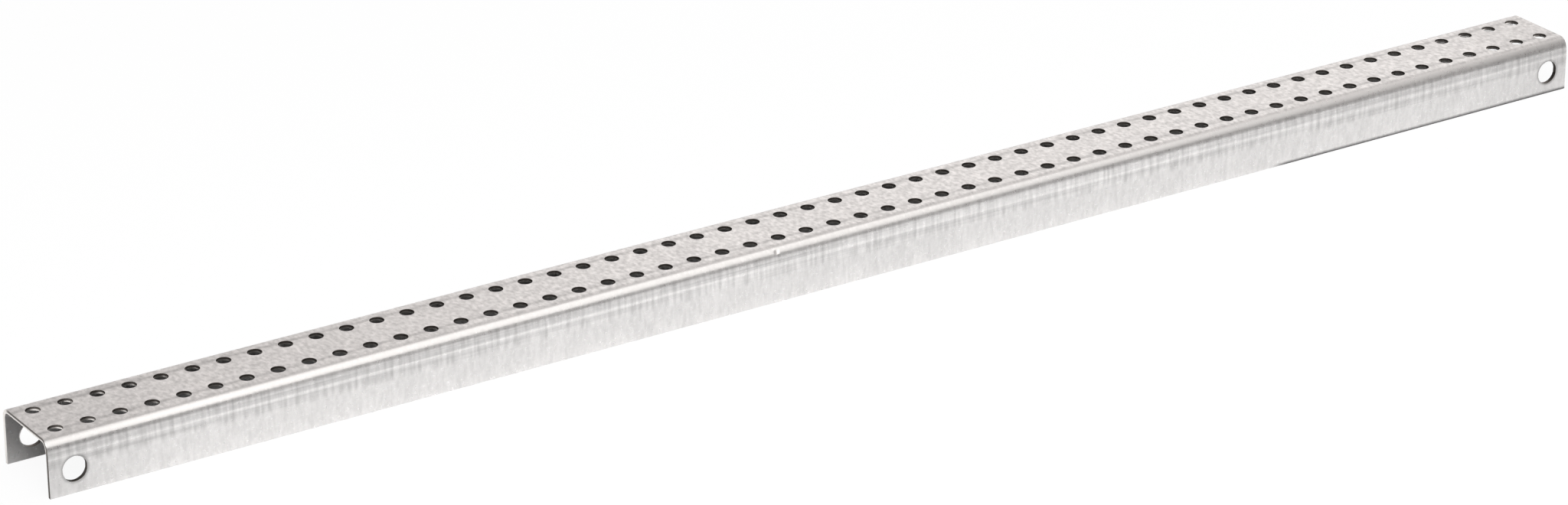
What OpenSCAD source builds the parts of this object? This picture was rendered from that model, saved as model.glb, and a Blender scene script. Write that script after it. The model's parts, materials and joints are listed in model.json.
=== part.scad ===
// Enclosure cross rail: one strip of zinc-coated steel sheet, punched flat and
// then folded twice into a channel that lies with its open side down.
// Two rows of round holes run the whole length of the web, and one larger hole
// near each end goes straight through both flanges.
// X runs along the rail, Y across it and Z up. The origin is at mid-length,
// halfway between the flanges and level with their lower edges.

/* [Channel] */
// Length of the rail from end to end
rail_length = 690; // [190:5:1190]
// Width over the outsides of the two flanges
web_width = 35; // [32:0.5:60]
// Height from the flanges' lower edges to the top of the web
flange_height = 22; // [19:0.5:50]
// Thickness of the sheet
sheet_thickness = 1.5; // [0.8:0.1:2.5]
// Radius on the inside of the two folds
bend_inner_radius = 2.5; // [0.5:0.1:3.5]

/* [Web holes] */
// Diameter of the holes in the web
web_hole_diameter = 5.5; // [3:0.1:6.5]
// Distance from one hole to the next along a row
web_hole_pitch = 12.5; // [8:0.5:50]
// Distance between the two rows, centre to centre
web_row_spacing = 17.5; // [8:0.25:21]
// Distance from the rail's left end to the first hole, and the least at its right end
web_hole_from_end = 7.5; // [5:0.5:20]

/* [End holes] */
// Diameter of the hole through both flanges near each end
end_hole_diameter = 9.5; // [5:0.1:14]
// Distance from the rail's end to the hole's centre
end_hole_from_end = 10; // [8:0.25:40]
// Height of the hole's centre above the flanges' lower edges
end_hole_height = 9.25; // [8:0.25:12.5]

/* [Hidden] */
$fn = 96;
bend_outer_radius = bend_inner_radius + sheet_thickness;

// Flat widths of the web and the flanges, between and below the folds
web_flat = web_width - 2 * bend_outer_radius;
flange_flat = flange_height - bend_outer_radius;

// As many columns of holes as fit between the two end distances
web_hole_columns = floor((rail_length - 2 * web_hole_from_end) / web_hole_pitch) + 1;
first_column_x = web_hole_from_end - rail_length / 2;
end_hole_x = rail_length / 2 - end_hole_from_end;

// A punch stands this far out of the sheet on each side
punch_overrun = sheet_thickness;

// A quarter ring of sheet, from the end of the web down to the top of a flange
module bend_section() {
    intersection() {
        difference() {
            circle(r = bend_outer_radius);
            circle(r = bend_inner_radius);
        }
        square(bend_outer_radius);
    }
}

// The folded strip's section: a web, and on each side a fold and a flange
module channel_section() {
    translate([-web_flat / 2, flange_height - sheet_thickness])
        square([web_flat, sheet_thickness]);
    for (side = [0, 1])
        mirror([side, 0]) {
            translate([web_flat / 2, flange_flat])
                bend_section();
            translate([web_width / 2 - sheet_thickness, 0])
                square([sheet_thickness, flange_flat]);
        }
}

// Punches for the two rows of holes in the web
module web_punches() {
    for (column = [0 : web_hole_columns - 1], row = [-1, 1])
        translate([
            first_column_x + column * web_hole_pitch,
            row * web_row_spacing / 2,
            flange_height - sheet_thickness - punch_overrun
        ])
            cylinder(h = sheet_thickness + 2 * punch_overrun, d = web_hole_diameter);
}

// Punches for the end holes, each one through both flanges
module end_punches() {
    for (end = [-1, 1])
        translate([end * end_hole_x, 0, end_hole_height])
            rotate([90, 0, 0])
                cylinder(h = web_width + 2 * punch_overrun, d = end_hole_diameter, center = true);
}

module cross_rail() {
    color("#c6cacc")
        difference() {
            rotate([90, 0, 90])
                linear_extrude(height = rail_length, center = true)
                    channel_section();
            web_punches();
            end_punches();
        }
}

cross_rail();
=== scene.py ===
import json
import math

import bmesh
import bpy
from mathutils import Matrix, Vector


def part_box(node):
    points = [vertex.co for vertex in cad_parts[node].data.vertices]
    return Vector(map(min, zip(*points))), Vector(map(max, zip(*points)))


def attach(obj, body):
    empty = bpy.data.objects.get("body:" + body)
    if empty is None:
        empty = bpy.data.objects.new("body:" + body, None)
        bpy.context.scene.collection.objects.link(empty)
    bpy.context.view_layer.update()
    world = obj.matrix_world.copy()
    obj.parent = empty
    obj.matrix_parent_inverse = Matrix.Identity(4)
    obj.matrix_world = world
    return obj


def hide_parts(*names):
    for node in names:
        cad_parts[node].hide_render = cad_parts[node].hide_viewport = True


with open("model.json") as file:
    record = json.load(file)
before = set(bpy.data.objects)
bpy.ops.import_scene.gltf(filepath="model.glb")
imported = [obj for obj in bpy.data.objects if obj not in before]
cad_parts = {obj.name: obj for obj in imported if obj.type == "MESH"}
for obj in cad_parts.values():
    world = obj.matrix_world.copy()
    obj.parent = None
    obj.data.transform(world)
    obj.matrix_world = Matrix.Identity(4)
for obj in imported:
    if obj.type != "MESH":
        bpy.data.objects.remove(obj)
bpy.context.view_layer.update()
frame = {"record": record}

mm = 0.001
weld = 0.002 * mm  # points nearer than this are one point
mounts = {mount["name"]: mount for mount in frame["record"]["mounts"]}
railLow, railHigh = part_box("cross_rail")
railSize = railHigh - railLow
print("frame loaded, rail", [round(side / mm, 2) for side in railSize], "mm")


def linear(hexColour):
    channels = [int(hexColour[i : i + 2], 16) / 255 for i in (1, 3, 5)]
    return [c / 12.92 if c <= 0.04045 else ((c + 0.055) / 1.055) ** 2.4 for c in channels] + [1.0]


def addNode(tree, kind, inputs=None, **settings):
    node = tree.nodes.new(kind)
    for name, value in settings.items():
        setattr(node, name, value)
    for name, value in (inputs or {}).items():
        socket = node.inputs[name]
        if isinstance(value, bpy.types.NodeSocket):
            tree.links.new(value, socket)
        else:
            socket.default_value = value
    return node


def emptyMaterial(name):
    material = bpy.data.materials.new(name)
    material.use_nodes = True
    material.node_tree.nodes.clear()
    return material, material.node_tree


# The rail: a sheet skin is laid out cell by cell, folded, given its thickness and its edges broken
railSheet = {
    "sheetMm": 1.5,
    "foldMm": 4.0,  # outside radius of the folds
    "foldSteps": 12,
    "easeMm": 0.4,  # narrow flat beside the front fold, so that the web stays flat in the light
    "pitchMm": 12.5,
    "holeSides": 32,
    # the front fold has sprung back and its flange makes up the rest of the turn,
    # and the back one is square
    "foldDeg": {"front": 72, "back": 90},
    "setBackMm": {"front": 0.613, "back": 0.0},  # foot of the fold behind the flange's face
    # down the flange: height, and set-back where the folding die pressed it
    "flangeMm": {
        "front": (
            (18.5, 0.406), (18.1, 0.314), (17.7, 0.245), (17.3, 0.185), (16.7, 0.115),
            (16, 0.072), (15.3, 0.06), (14.5, 0.054), (13.7, 0.036), (12.9, 0.016),
            (12, 0.004), (10.5, 0), (7.5, 0), (5, 0), (2.5, 0), (0, 0),
        ),
        "back": (
            (16, 0), (14.5, 0), (13, 0), (11.5, 0), (10, 0), (8.5, 0), (7, 0), (5.5, 0),
            (4, 0), (2.5, 0), (0, 0),
        ),
    },
    "endPatchMm": 14.0,  # square of flange that is rebuilt round each end hole
    "edgeBreakMm": 0.12,  # sheared edges
    "punchRollMm": 0.10,  # where the punch drew the web's top face into a hole
    "endRollMm": 0.2,  # the same round the end holes, on the outsides of the flanges
    # lip that the punch left round the end holes, on the insides of the flanges
    "lipFootMm": 0.3,
    "lipMm": 0.4,
    "lipTop": (0.1, 0.9),  # the part of its foot that is raised
    "edgeSteps": 2,
    "sharpDeg": 60,  # edges from here on are broken
    "smoothDeg": 20,  # faces that turn less are shaded as one
    # a knock on the front fold: place along the rail, turn round the fold, reach and depth
    "dentXMm": -43.2,
    "dentDeg": 58,
    "dentReachMm": 1.3,
    "dentMm": 0.2,
    # finer faces round it, and how many reaches out they are cut and set on the curve
    "dentCuts": 4,
    "dentCutReaches": 2,
    "dentSetReaches": 3,
}
sideSign = {"front": -1, "back": 1}


def foldOf(side):
    # how far a fold turns, and the middle of its curve
    turn = math.radians(railSheet["foldDeg"][side])
    fold = railSheet["foldMm"] * mm
    foot = railHigh.y - railSheet["setBackMm"][side] * mm
    return turn, Vector((0, sideSign[side] * (foot - fold * math.sin(turn)), railHigh.z - fold))


def edgesOn(bm, axis, value):
    return [e for e in bm.edges if all(abs(v.co[axis] - value) < weld for v in e.verts)]


def vertsOf(geom):
    return [g for g in geom if isinstance(g, bmesh.types.BMVert)]


def pullOut(bm, edges, step):
    made = vertsOf(bmesh.ops.extrude_edge_only(bm, edges=edges)["geom"])
    bmesh.ops.translate(bm, verts=made, vec=step)
    fresh = set(made)
    return [e for e in bm.edges if fresh.issuperset(e.verts)]


def layWebRow(bm, rowY, halfX, halfY, columns):
    # one hole in its rectangle of web, then copies of it down the row
    sides = railSheet["holeSides"]
    holeRadius = mounts["web_bolts_left"]["dims"]["hole_r_mm"] * mm
    bmesh.ops.create_circle(bm, segments=sides, radius=holeRadius)
    outline = bmesh.ops.create_circle(bm, segments=sides, radius=1)["verts"]
    for v in outline:
        reach = max(abs(v.co.x), abs(v.co.y))
        v.co.x *= halfX / reach
        v.co.y *= halfY / reach
    bmesh.ops.bridge_loops(bm, edges=bm.edges[:])
    bmesh.ops.translate(bm, verts=bm.verts, vec=((1 - columns) * halfX, rowY, railHigh.z))
    cell = bm.verts[:] + bm.edges[:] + bm.faces[:]
    for column in range(1, columns):
        copy = bmesh.ops.duplicate(bm, geom=cell)["geom"]
        bmesh.ops.translate(bm, verts=vertsOf(copy), vec=(2 * halfX * column, 0, 0))
    bmesh.ops.remove_doubles(bm, verts=bm.verts, dist=weld)


def foldFlange(bm, edges, side):
    # over the fold, then down the flange row by row
    turn, centre = foldOf(side)
    sign = sideSign[side]
    spun = bmesh.ops.spin(
        bm, geom=edges, cent=centre, axis=(-sign, 0, 0), angle=turn, steps=railSheet["foldSteps"]
    )["geom_last"]
    edges = [g for g in spun if isinstance(g, bmesh.types.BMEdge)]
    here = centre + Vector((0, sign * math.sin(turn), math.cos(turn))) * railSheet["foldMm"] * mm
    for height, setBack in railSheet["flangeMm"][side]:
        there = Vector((0, sign * (railHigh.y - setBack * mm), railLow.z + height * mm))
        edges = pullOut(bm, edges, there - here)
        here = there


def openEndHole(bm, mount, side):
    # a square of flange comes out, and a ring of faces runs from its border to the hole
    centre = Vector((mount["pos_m"][0], sideSign[side] * railHigh.y, mount["pos_m"][2]))
    half = railSheet["endPatchMm"] * mm / 2
    pressed = railSheet["setBackMm"]["front"] * mm
    patch = []
    for face in bm.faces:
        offset = face.calc_center_median() - centre
        if abs(offset.y) < pressed and max(abs(offset.x), abs(offset.z)) < half:
            patch.append(face)
    # a dictionary keeps a fixed order, unlike a set
    patchEdges = dict.fromkeys(e for face in patch for e in face.edges)
    border = [e for e in patchEdges if sum(f in patch for f in e.link_faces) == 1]
    bmesh.ops.delete(bm, geom=patch, context="FACES")
    # bridging pairs the two rings rightly only when they lie apart
    standOff = Vector((0, sideSign[side] * half, 0))
    place = Matrix.Translation(centre + standOff) @ Matrix.Rotation(math.pi / 2, 4, "X")
    radius = mount["dims"]["r_mm"] * mm
    ring = bmesh.ops.create_circle(bm, segments=len(border), radius=radius, matrix=place)["verts"]
    ringEdges = list(dict.fromkeys(e for v in ring for e in v.link_edges))
    bmesh.ops.bridge_loops(bm, edges=border + ringEdges)
    for v in ring:
        # each point of the hole faces its point of the border
        outer = next(e.other_vert(v) for e in v.link_edges if e.other_vert(v) not in ring)
        reach = outer.co - centre
        reach.y = 0
        v.co = centre + reach.normalized() * radius


def dentFold(bm):
    # finer faces round the knock, set on the fold's curve, and how far each point goes in later
    at = math.radians(railSheet["dentDeg"])
    fold, reach, depth = (railSheet[k] * mm for k in ("foldMm", "dentReachMm", "dentMm"))
    turn, axis = foldOf("front")
    place = axis + Vector((0, -math.sin(at), math.cos(at))) * fold
    place.x = railSheet["dentXMm"] * mm
    cutReach, setReach = (railSheet[k] * reach for k in ("dentCutReaches", "dentSetReaches"))
    near = [f for f in bm.faces if (f.calc_center_median() - place).length < cutReach]
    edges = list(dict.fromkeys(e for f in near for e in f.edges))
    bmesh.ops.subdivide_edges(bm, edges=edges, cuts=railSheet["dentCuts"], use_grid_fill=True)
    pushes = []
    for v in bm.verts:
        away = (v.co - place).length
        out = Vector((0, v.co.y - axis.y, v.co.z - axis.z))
        if away < setReach and 0 < math.atan2(-out.y, out.z) < turn:
            out.normalize()
            v.co = Vector((v.co.x, axis.y, axis.z)) + out * fold
            pushes.append((v, out * depth * max(0, 1 - (away / reach) ** 2) ** 2))
    return pushes


def raiseLip(verts):
    # the ring of points halfway round the rounded rim is drawn out into the channel
    bore = mounts["end_bore_right"]
    topStart, topEnd = railSheet["lipTop"]
    for v in verts:
        across = math.hypot(abs(v.co.x) - bore["pos_m"][0], v.co.z - bore["pos_m"][2])
        pastRim = across / mm - bore["dims"]["r_mm"]
        if topStart < pastRim / railSheet["lipFootMm"] < topEnd:
            v.co.y -= math.copysign(railSheet["lipMm"] * mm, v.co.y)


def breakEdges(bm):
    # a punch rolls a hole's outer rim over and leaves a lip inside the flanges,
    # and other edges are only sheared
    edges = {"punchRollMm": [], "endRollMm": [], "lipFootMm": [], "edgeBreakMm": []}
    for edge in bm.edges:
        if edge.calc_face_angle() < math.radians(railSheet["sharpDeg"]):
            continue
        middle = (edge.verts[0].co + edge.verts[1].co) / 2
        fromSide = railHigh.y - abs(middle.y)
        kind = "edgeBreakMm"
        if abs(middle.x) < railHigh.x - weld and middle.z > railLow.z + weld:
            if abs(middle.z - railHigh.z) < weld:
                kind = "punchRollMm"
            elif fromSide < railSheet["setBackMm"]["front"] * mm:
                kind = "endRollMm"
            elif fromSide < 2 * railSheet["sheetMm"] * mm:
                kind = "lipFootMm"
        edges[kind].append(edge)
    for size, sharp in edges.items():
        rounded = bmesh.ops.bevel(
            bm,
            geom=sharp,
            offset=railSheet[size] * mm,
            offset_type="OFFSET",
            segments=railSheet["edgeSteps"],
            profile=0.5,
            affect="EDGES",
            material=-1,
        )
        if size == "lipFootMm":
            raiseLip(rounded["verts"])


def markSheetDepth(mesh):
    # how deep each point lies in the sheet: about 0 on its outside and 1 on its inside
    fold, sheet = (railSheet[k] * mm for k in ("foldMm", "sheetMm"))
    centres = {side: foldOf(side)[1] for side in sideSign}
    depths = mesh.attributes.new("sheetDepth", "FLOAT", "POINT").data
    for vert, depth in zip(mesh.vertices, depths):
        centre = centres["front" if vert.co.y < 0 else "back"]
        out = abs(vert.co.y) - abs(centre.y)
        up = vert.co.z - centre.z
        reach = math.hypot(out, up) if min(out, up) > 0 else max(out, up)
        depth.value = (fold - reach) / sheet


def makeRail():
    sheet, ease, pitch = (railSheet[k] * mm for k in ("sheetMm", "easeMm", "pitchMm"))
    rowY = mounts["web_bolts_left"]["dims"]["spacing_y_mm"] * mm / 2
    columns = int(railSize.x / pitch)
    halfX = pitch / 2
    webEdge = abs(foldOf("front")[1].y) - ease
    halfY = webEdge - rowY
    bm = bmesh.new()
    layWebRow(bm, rowY, halfX, halfY, columns)
    pullOut(bm, edgesOn(bm, 1, rowY - halfY), (0, halfY - rowY, 0))
    bmesh.ops.mirror(bm, geom=bm.verts[:] + bm.edges[:] + bm.faces[:], axis="Y", merge_dist=weld)
    for side, sign in sideSign.items():
        flat = foldOf(side)[1].y - sign * webEdge
        webSide = pullOut(bm, edgesOn(bm, 1, sign * webEdge), (0, flat, 0))
        foldFlange(bm, webSide, side)
    for end in (-1, 1):
        lastColumn = end * columns * halfX
        pullOut(bm, edgesOn(bm, 0, lastColumn), (end * railHigh.x - lastColumn, 0, 0))
    for name in ("end_bore_left", "end_bore_right"):
        for side in sideSign:
            openEndHole(bm, mounts[name], side)
    bmesh.ops.recalc_face_normals(bm, faces=bm.faces)
    if max(bm.faces, key=lambda f: f.calc_center_median().z).normal.z < 0:
        bmesh.ops.reverse_faces(bm, faces=bm.faces)
    knock = dentFold(bm)
    bm.normal_update()  # the thickness follows the normals
    outside = set(bm.verts)
    bmesh.ops.solidify(bm, geom=bm.faces[:], thickness=sheet)
    for v, push in knock:
        v.co -= push  # only the outside is marked
    for face in bm.faces:
        onOutside = sum(v in outside for v in face.verts)
        face.material_index = int(0 < onOutside < len(face.verts))  # 1 on the cut edges
    bm.normal_update()
    breakEdges(bm)
    mesh = bpy.data.meshes.new("galvanised_rail")
    bm.to_mesh(mesh)
    bm.free()
    mesh.shade_smooth()
    mesh.set_sharp_from_angle(angle=math.radians(railSheet["smoothDeg"]))
    markSheetDepth(mesh)
    rail = bpy.data.objects.new("galvanised_rail", mesh)
    bpy.context.scene.collection.objects.link(rail)
    return rail


rail = makeRail()
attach(rail, "root")
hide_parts("cross_rail")
print("rail made,", len(rail.data.polygons), "faces")


# Pre-galvanised steel sheet: a satin zinc skin, mottled and finely streaked across the rail,
# marked along the flanges by the folding die and rubbed along the rows of holes,
# with painted shade towards the ends and the other painted light and shade noted below
zincCoat = {
    "zincHex": "#e6e4e3",
    "roughness": (0.26, 0.34),
    "bumpMm": 0.004,
    # size along x, y and z, detail, and the part of the noise that shows
    "noiseMm": {
        "mottle": ((1.4, 2.2, 1.4), 3.0, 0.3, 0.7),
        "streak": ((2.0, 16.0, 16.0), 1.5, 0.38, 0.72),
        "grain": ((1.8, 6.0, 6.0), 2.0, 0.38, 0.72),
        "band": ((9.0, 60.0, 60.0), 1.0, 0.35, 0.65),
        "scratch": ((70.0, 0.5, 0.5), 2.0, 0.48, 0.72),
        "patch": ((45.0, 60.0, 60.0), 1.0, 0.35, 0.6),
    },
    # height and half-width of the lines that the folding die left along the flanges,
    # and of a painted highlight line among them
    "lineMm": {
        "foot": (18.5, 1.2),
        "die": (16.8, 1.8),
        "endDie": (15.9, 1.6),
        "ridgeHighlight": (15.1, 1.0),
        "press": (13.4, 1.8),
        "endPress": (12.8, 2.6),
    },
    "rubAtMm": (-9.7, 10.5),  # places across the web
    # where each of these starts to show and where it shows in full
    "spanMm": {
        "leftEnd": ("x", -230, -320),
        "leftThird": ("x", -120, -290),
        "leftPart": ("x", 15, -40),
        "rightPart": ("x", 95, 270),
        "rightEnd": ("x", 190, 200),
        "bothEnds": ("fromEnd", 225, 95),
        "endShade": ("fromEnd", 60, 0),
        "inDie": ("z", 9.2, 12.0),
        "belowDie": ("z", 12.0, 9.2),
        "lowerEdgeShadow": ("z", 1.8, 0),
        "backEdgeShade": ("y", 7, 12),
        "rub": ("fromRub", 1.7, 0),
        "holeRim": ("fromRim", 1.3, 0),
    },
    # the same for which way the face points, and for the depth in the sheet
    "share": {
        "onWeb": ("upward", 0.85, 0.99),
        "onFlange": ("sideways", 0.85, 0.99),
        "inside": ("depth", 0.4, 0.65),
        "outside": ("depth", 0.65, 0.4),
    },
    # how much each mark darkens the zinc, or lightens it below 0, and what it is made of
    "marks": (
        (0.08, "mottle"),
        (0.26, "mottle", "onWeb"),
        (0.12, "grain", "onFlange", "belowDie"),
        (0.28, "streak", "onFlange", "inDie"),
        (0.06, "grain", "onWeb"),
        (0.04, "band", "onFlange"),
        (-0.065, "onFlange", "inDie"),
        (0.13, "scratch", "onFlange", "inDie"),
        (0.15, "foot", "onFlange"),
        (0.24, "foot", "onFlange", "leftEnd"),
        (0.16, "die", "onFlange", "leftPart"),
        (0.16, "die", "onFlange", "rightPart"),
        (0.10, "endDie", "onFlange", "bothEnds"),
        # painted highlight: a light line along the outsides of the flanges, among the die marks
        (-0.12, "ridgeHighlight", "onFlange"),
        (0.12, "press", "onFlange", "patch"),
        (0.11, "endPress", "onFlange", "bothEnds"),
        # a faint grey ring round each end hole, made darker as painted shade that widens the
        # shaded wall
        (0.42, "holeRim", "onFlange"),
        (0.24, "rub", "onWeb"),
        # painted shade: the web darker near its back edge over the left third
        (0.10, "backEdgeShade", "onWeb", "leftThird"),
        # painted shade: the inner skin of the channel darker, as it lies in shade
        (0.22, "inside"),
        # painted shade: the zinc darker within 60 mm of the ends
        (0.10, "endShade"),
        # painted shadow: a dark line along the lower edges over the right part of the rail
        (0.85, "lowerEdgeShadow", "rightEnd"),
    ),
}


def galvanisedSteel():
    material, tree = emptyMaterial("pre_galvanised_steel")
    place = addNode(tree, "ShaderNodeTexCoord").outputs["Object"]
    at = addNode(tree, "ShaderNodeSeparateXYZ", {"Vector": place}).outputs
    along = addNode(tree, "ShaderNodeMath", {0: at["X"]}, operation="ABSOLUTE").outputs[0]
    fromEnd = addNode(
        tree, "ShaderNodeMath", {0: railHigh.x, 1: along}, operation="SUBTRACT"
    ).outputs[0]
    rubStart, rubEnd = (side * mm for side in zincCoat["rubAtMm"])
    pastRub = addNode(
        tree, "ShaderNodeMath", {0: at["Y"], 1: rubStart}, operation="SUBTRACT"
    ).outputs[0]
    fromRub = addNode(
        tree, "ShaderNodeMath", {0: pastRub, 1: (rubEnd - rubStart) / 2}, operation="PINGPONG"
    ).outputs[0]
    bore = mounts["end_bore_right"]
    flat = addNode(tree, "ShaderNodeCombineXYZ", {"X": along, "Z": at["Z"]}).outputs["Vector"]
    fromBore = addNode(
        tree, "ShaderNodeVectorMath", {0: flat, 1: bore["pos_m"]}, operation="DISTANCE"
    ).outputs["Value"]
    fromRim = addNode(
        tree, "ShaderNodeMath", {0: fromBore, 1: bore["dims"]["r_mm"] * mm}, operation="SUBTRACT"
    ).outputs[0]
    normal = addNode(tree, "ShaderNodeNewGeometry").outputs["Normal"]
    turned = addNode(
        tree, "ShaderNodeVectorMath", {0: normal}, operation="ABSOLUTE"
    ).outputs["Vector"]
    facing = addNode(tree, "ShaderNodeSeparateXYZ", {"Vector": turned}).outputs
    measure = {
        "x": at["X"],
        "y": at["Y"],
        "z": at["Z"],
        "fromEnd": fromEnd,
        "fromRub": fromRub,
        "fromRim": fromRim,
        "upward": facing["Z"],
        "sideways": facing["Y"],
        "depth": addNode(tree, "ShaderNodeAttribute", attribute_name="sheetDepth").outputs["Fac"],
    }
    spans = {}
    for name, (what, none, full) in zincCoat["spanMm"].items():
        spans[name] = (measure[what], none * mm, full * mm)
    for name, (what, none, full) in zincCoat["share"].items():
        spans[name] = (measure[what], none, full)
    for name, (height, half) in zincCoat["lineMm"].items():
        above = addNode(
            tree, "ShaderNodeMath", {0: at["Z"], 1: height * mm}, operation="SUBTRACT"
        ).outputs[0]
        away = addNode(tree, "ShaderNodeMath", {0: above}, operation="ABSOLUTE").outputs[0]
        spans[name] = (away, half * mm, 0)
    pattern = {}
    for name, (value, none, full) in spans.items():
        pattern[name] = addNode(tree, "ShaderNodeMapRange", {
            "Value": value, "From Min": none, "From Max": full,
        }, interpolation_type="SMOOTHSTEP").outputs["Result"]
    for name, (size, detail, none, full) in zincCoat["noiseMm"].items():
        grid = addNode(tree, "ShaderNodeMapping", {
            "Vector": place, "Scale": [1 / (side * mm) for side in size],
        }).outputs["Vector"]
        noise = addNode(tree, "ShaderNodeTexNoise", {
            "Vector": grid, "Scale": 1.0, "Detail": detail,
        }).outputs["Fac"]
        pattern[name] = addNode(tree, "ShaderNodeMapRange", {
            "Value": noise, "From Min": none, "From Max": full,
        }).outputs["Result"]
    # the die only touched the outsides of the flanges
    pattern["onFlange"] = addNode(tree, "ShaderNodeMath", {
        0: pattern["onFlange"], 1: pattern["outside"],
    }, operation="MULTIPLY").outputs[0]
    shade = 1.0
    for darker, *parts in zincCoat["marks"]:
        amount = -darker
        for part in parts:
            amount = addNode(
                tree, "ShaderNodeMath", {0: amount, 1: pattern[part]}, operation="MULTIPLY"
            ).outputs[0]
        shade = addNode(
            tree, "ShaderNodeMath", {0: shade, 1: amount, 2: shade}, operation="MULTIPLY_ADD"
        ).outputs[0]
    colour = addNode(tree, "ShaderNodeVectorMath", {
        0: linear(zincCoat["zincHex"])[:3], "Scale": shade,
    }, operation="SCALE").outputs["Vector"]
    smooth, rough = zincCoat["roughness"]
    gloss = addNode(tree, "ShaderNodeMapRange", {
        "Value": pattern["mottle"], "To Min": smooth, "To Max": rough,
    }).outputs["Result"]
    bump = addNode(tree, "ShaderNodeBump", {
        "Height": pattern["mottle"], "Distance": zincCoat["bumpMm"] * mm,
    }).outputs["Normal"]
    metal = addNode(tree, "ShaderNodeBsdfPrincipled", {
        "Base Color": colour, "Metallic": 1.0, "Roughness": gloss, "Normal": bump,
    }).outputs["BSDF"]
    addNode(tree, "ShaderNodeOutputMaterial", {"Surface": metal})
    return material


# Bare steel where the sheet was punched and sheared: dull and torn outside,
# burnished on the inner half
cutSteel = {
    "tornHex": "#68635f",
    "burnishedHex": "#e6e2de",
    "tornTo": (0.45, 0.7),  # share of the sheet's thickness where one band turns into the other
    # the burnish shows at the rail's ends and in the web holes, and all over the back flange's
    # ends: in from the ends, down from the web's top and across, where it starts and is full
    "endMm": (0.4, 0.2),
    "webMm": (2.2, 1.6),
    "backMm": (13.0, 15.0),
    "roughness": (0.5, 0.3),
}


def shearedSteel():
    material, tree = emptyMaterial("sheared_steel")
    depth = addNode(tree, "ShaderNodeAttribute", attribute_name="sheetDepth").outputs["Fac"]
    tornEnd, burnishedStart = cutSteel["tornTo"]
    inner = addNode(tree, "ShaderNodeMapRange", {
        "Value": depth, "From Min": tornEnd, "From Max": burnishedStart,
    }, interpolation_type="SMOOTHSTEP").outputs["Result"]
    place = addNode(tree, "ShaderNodeTexCoord").outputs["Object"]
    at = addNode(tree, "ShaderNodeSeparateXYZ", {"Vector": place}).outputs
    along = addNode(tree, "ShaderNodeMath", {0: at["X"]}, operation="ABSOLUTE").outputs[0]
    mask = {}
    for name, value, none, full in (
        ("end", along, *(railHigh.x - reach * mm for reach in cutSteel["endMm"])),
        ("web", at["Z"], *(railHigh.z - reach * mm for reach in cutSteel["webMm"])),
        ("back", at["Y"], *(reach * mm for reach in cutSteel["backMm"])),
    ):
        mask[name] = addNode(tree, "ShaderNodeMapRange", {
            "Value": value, "From Min": none, "From Max": full,
        }).outputs["Result"]
    where = addNode(
        tree, "ShaderNodeMath", {0: mask["end"], 1: mask["web"]}, operation="MAXIMUM"
    ).outputs[0]
    band = addNode(
        tree, "ShaderNodeMath", {0: inner, 1: mask["back"]}, operation="MAXIMUM"
    ).outputs[0]
    burnish = addNode(tree, "ShaderNodeMath", {0: where, 1: band}, operation="MULTIPLY").outputs[0]
    colour = addNode(tree, "ShaderNodeMixRGB", {
        "Fac": burnish,
        "Color1": linear(cutSteel["tornHex"]),
        "Color2": linear(cutSteel["burnishedHex"]),
    }).outputs["Color"]
    torn, burnished = cutSteel["roughness"]
    gloss = addNode(tree, "ShaderNodeMapRange", {
        "Value": burnish, "To Min": torn, "To Max": burnished,
    }).outputs["Result"]
    metal = addNode(tree, "ShaderNodeBsdfPrincipled", {
        "Base Color": colour, "Metallic": 1.0, "Roughness": gloss,
    }).outputs["BSDF"]
    addNode(tree, "ShaderNodeOutputMaterial", {"Surface": metal})
    return material


rail.data.materials.append(galvanisedSteel())
rail.data.materials.append(shearedSteel())
print("finish set")


# Studio: white table, level soft boxes overhead and to the front, a high fill from the front left,
# a faint one from behind and a pale backdrop
studio = {
    "floorHex": "#f6f8fa",
    "floorMm": 30000,
    "floorGlow": 0.92,  # how far the table's own light hides the shadows from the eye
    # none of that light under the rail or just behind it, apart from its left end
    # and the front of its right end: where each side of that starts and is full
    "shadeMm": {
        "left": ("X", -300, -270),
        "right": ("X", 372, 364),
        "back": ("Y", 56, 40),
        "end": ("X", 300, 325),
        "front": ("Y", 14, 6),
    },
    "shadeInMm": 1.0,  # from the front flange's face to where that shade begins
    # place, size and radiance of each box
    "boxesMm": {
        "top_box": ((322, -2706, 1250), (2900, 4700), 1.02),
        "rear_box": ((-325, -135, 1250), (1750, 270), 0.8),
        "left_box": ((-900, -1900, 2300), (1800, 1800), 5.0),
        "back_box": ((1150, 1350, 750), (900, 900), 0.2),
    },
    # level boxes, the first in line with what the fold mirrors
    "turnDeg": {"top_box": 19.4, "rear_box": 0},
    "boxHex": "#fffefc",
    "seenHex": "#ffffff",  # the backdrop as the eye meets it, without its shades
    "backdropHex": "#fffbf9",
    "backdropTurn": (0.8, 0.6, 0.0),
    "backdropStops": (
        (0.0, 0.4), (0.36, 0.32), (0.5, 0.25), (0.6, 0.32), (0.675, 0.44), (0.7, 0.6),
        (0.745, 0.76), (0.77, 0.89), (0.85, 0.89), (0.89, 0.91), (0.95, 1.03), (1.0, 0.97),
    ),
}


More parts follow.
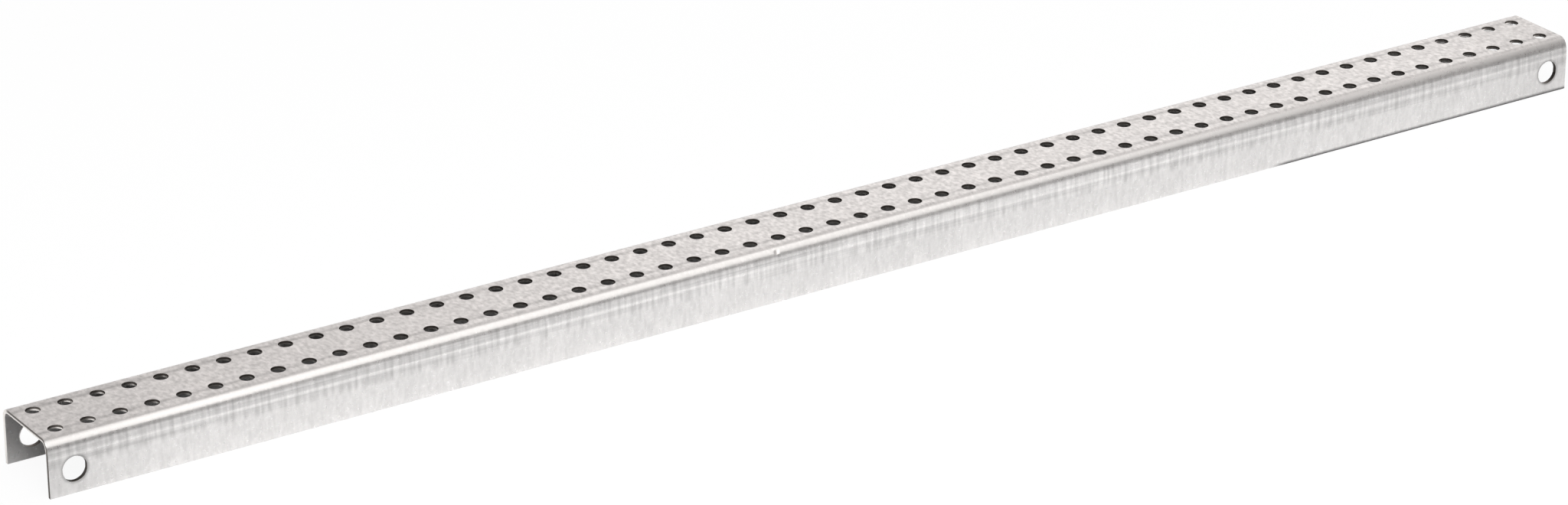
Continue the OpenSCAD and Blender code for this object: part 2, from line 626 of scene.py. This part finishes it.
def makeFloor():
    bm = bmesh.new()
    bmesh.ops.create_grid(bm, x_segments=1, y_segments=1, size=studio["floorMm"] * mm / 2)
    mesh = bpy.data.meshes.new("floor")
    bm.to_mesh(mesh)
    bm.free()
    material, tree = emptyMaterial("white_table")
    place = addNode(tree, "ShaderNodeTexCoord").outputs["Object"]
    at = addNode(tree, "ShaderNodeSeparateXYZ", {"Vector": place}).outputs
    mask = {}
    for name, (axis, none, full) in studio["shadeMm"].items():
        mask[name] = addNode(tree, "ShaderNodeMapRange", {
            "Value": at[axis], "From Min": none * mm, "From Max": full * mm,
        }, interpolation_type="SMOOTHSTEP").outputs["Result"]
    mask["under"] = addNode(tree, "ShaderNodeMath", {
        0: at["Y"], 1: railLow.y + studio["shadeInMm"] * mm,
    }, operation="GREATER_THAN").outputs[0]
    zone = {}
    for name, parts in (
        ("hidden", ("left", "right", "back", "under")),
        ("lit", ("end", "front")),
    ):
        zone[name] = 1.0
        for part in parts:
            zone[name] = addNode(tree, "ShaderNodeMath", {
                0: zone[name], 1: mask[part],
            }, operation="MULTIPLY").outputs[0]
    seen = addNode(tree, "ShaderNodeLightPath").outputs["Is Camera Ray"]
    glow = 1.0
    for value, how in (
        (zone["hidden"], "SUBTRACT"),
        (zone["lit"], "MAXIMUM"),
        (seen, "MULTIPLY"),
        (studio["floorGlow"], "MULTIPLY"),
    ):
        glow = addNode(tree, "ShaderNodeMath", {0: glow, 1: value}, operation=how).outputs[0]
    paper = addNode(tree, "ShaderNodeBsdfDiffuse", {
        "Color": linear(studio["floorHex"]),
    }).outputs["BSDF"]
    white = addNode(tree, "ShaderNodeEmission").outputs["Emission"]
    table = addNode(tree, "ShaderNodeMixShader", {0: glow, 1: paper, 2: white}).outputs["Shader"]
    addNode(tree, "ShaderNodeOutputMaterial", {"Surface": table})
    mesh.materials.append(material)
    floor = bpy.data.objects.new("floor", mesh)
    bpy.context.scene.collection.objects.link(floor)


def makeLight():
    for name, (place, size, radiance) in studio["boxesMm"].items():
        light = bpy.data.lights.new(name, "AREA")
        light.shape = "RECTANGLE"
        light.size, light.size_y = (side * mm for side in size)
        light.energy = radiance * math.pi * light.size * light.size_y
        light.color = linear(studio["boxHex"])[:3]
        box = bpy.data.objects.new(name, light)
        box.location = Vector(place) * mm
        if name in studio["turnDeg"]:
            box.rotation_euler.z = math.radians(studio["turnDeg"][name])
        else:
            box.rotation_euler = box.location.to_track_quat("Z", "Y").to_euler()
        box.visible_camera = False
        bpy.context.scene.collection.objects.link(box)


def makeBackdrop():
    world = bpy.data.worlds.new("studio")
    bpy.context.scene.world = world
    world.use_nodes = True
    tree = world.node_tree
    tree.nodes.clear()
    way = addNode(tree, "ShaderNodeTexCoord").outputs["Generated"]
    turn = addNode(tree, "ShaderNodeVectorMath", {
        0: way, 1: studio["backdropTurn"],
    }, operation="DOT_PRODUCT").outputs["Value"]
    along = addNode(tree, "ShaderNodeMapRange", {
        "Value": turn, "From Min": -1.0, "From Max": 1.0,
    }).outputs["Result"]
    ramp = addNode(tree, "ShaderNodeValToRGB", {"Fac": along})
    stops = ramp.color_ramp.elements
    for i, (position, grey) in enumerate(studio["backdropStops"]):
        stop = stops[i] if i < 2 else stops.new(position)
        stop.position = position
        stop.color = [grey * c for c in linear(studio["backdropHex"])]
    seen = addNode(tree, "ShaderNodeLightPath").outputs["Is Camera Ray"]
    colour = addNode(tree, "ShaderNodeMixRGB", {
        "Fac": seen, "Color1": ramp.outputs["Color"], "Color2": linear(studio["seenHex"]),
    }).outputs["Color"]
    back = addNode(tree, "ShaderNodeBackground", {"Color": colour}).outputs["Background"]
    addNode(tree, "ShaderNodeOutputWorld", {"Surface": back})


# The photograph's camera, solved from the rows of web holes
photoView = {
    "placeMm": (-1040.7, -1525.0, 813.0),
    "turnDeg": 33.56,  # to the right of +Y
    "downDeg": 23.68,
    "lensMm": 121.46,
    "pictureMm": 36.0,
}


def makeCamera():
    lens = bpy.data.cameras.new("photo_view")
    lens.sensor_width = photoView["pictureMm"]
    lens.lens = photoView["lensMm"]
    camera = bpy.data.objects.new("photo_view", lens)
    camera.location = Vector(photoView["placeMm"]) * mm
    tilt = math.radians(90 - photoView["downDeg"])
    camera.rotation_euler = (tilt, 0, -math.radians(photoView["turnDeg"]))
    bpy.context.scene.collection.objects.link(camera)
    bpy.context.scene.camera = camera


makeFloor()
makeLight()
makeBackdrop()
makeCamera()
bpy.context.scene.view_settings.view_transform = "Standard"
print("studio set")
